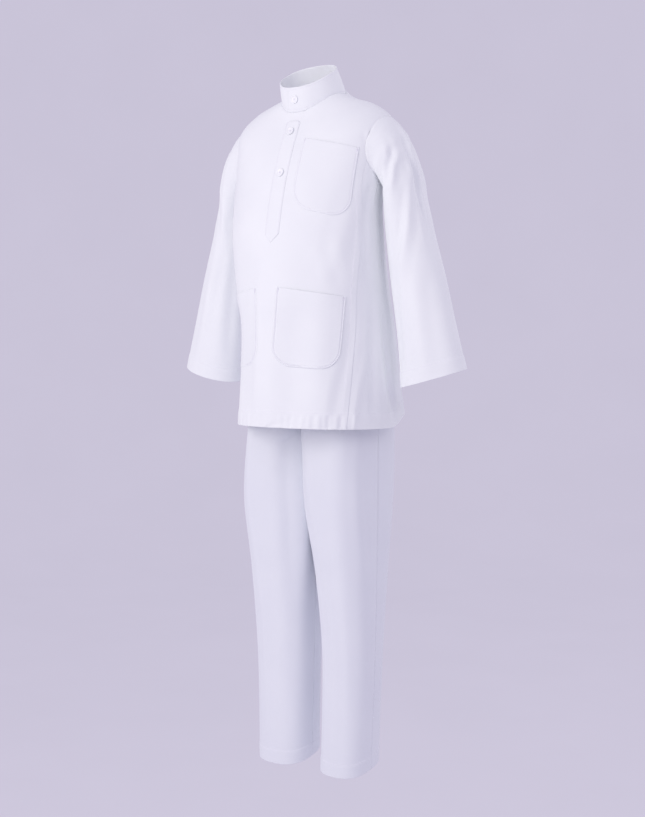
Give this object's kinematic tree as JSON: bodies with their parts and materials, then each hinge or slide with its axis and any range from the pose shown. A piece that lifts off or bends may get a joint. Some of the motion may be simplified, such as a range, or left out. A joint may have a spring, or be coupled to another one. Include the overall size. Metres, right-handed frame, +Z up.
{
  "type": "baju melayu set",
  "caption": "White baju melayu set: long-sleeved tunic with a stand collar, three buttons and three patch pockets, over straight trousers.",
  "frame": {"origin": "middle of the neck opening, where the wearer's neck holds the tunic", "axes": "+Z up, towards the collar; the garment faces -Y; +X is the wearer's left"},
  "size_m": [0.612, 0.274, 1.2706],
  "materials": {
    "tunic_cloth": "matt",
    "trouser_cloth": "matt",
    "button_plastic": "semi-gloss"
  },
  "bodies": {
    "root": {"body_front": "tunic_cloth", "body_back": "tunic_cloth", "side_front_left": "tunic_cloth", "side_back_left": "tunic_cloth", "side_front_right": "tunic_cloth", "side_back_right": "tunic_cloth", "sleeve_left": "tunic_cloth", "sleeve_right": "tunic_cloth", "collar": "tunic_cloth", "pocket_chest": "tunic_cloth", "pocket_left": "tunic_cloth", "pocket_right": "tunic_cloth", "placket": "tunic_cloth", "button_1": "button_plastic", "button_2": "button_plastic", "button_3": "button_plastic", "leg_front_left": "trouser_cloth", "leg_back_left": "trouser_cloth", "leg_front_right": "trouser_cloth", "leg_back_right": "trouser_cloth", "waistband": "trouser_cloth"}
  },
  "joints": []
}
